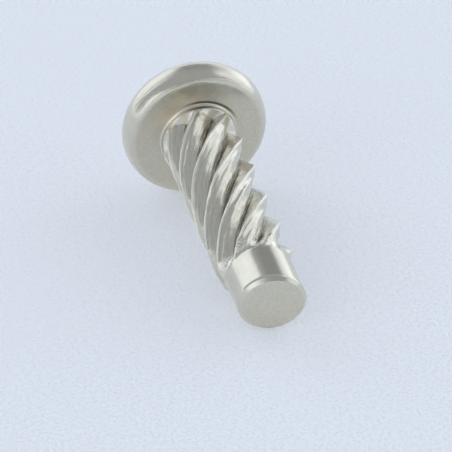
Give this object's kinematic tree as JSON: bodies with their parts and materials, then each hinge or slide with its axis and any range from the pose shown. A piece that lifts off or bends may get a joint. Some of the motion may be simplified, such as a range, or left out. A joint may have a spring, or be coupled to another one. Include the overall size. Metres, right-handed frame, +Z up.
{
  "type": "drive rivet",
  "caption": "Drive rivet with a domed round head, a shank of steep right-hand helical flutes and a plain pilot end; hammered into a drilled hole, it holds a plate under its head.",
  "frame": {"origin": "on the surface the rivet lies on, under the middle of its box", "axes": "+Z up; +X from the head toward the pilot end, with the rivet's own axis dipping toward +X because it lies on the rim of its head and the edge of its pilot end"},
  "size_m": [0.0156, 0.0068, 0.0068],
  "materials": {
    "steel": "bright nickel-plated steel, polished on the flutes and matt on the seat face and the pilot end"
  },
  "bodies": {
    "root": {"drive_rivet": "steel"}
  },
  "joints": []
}
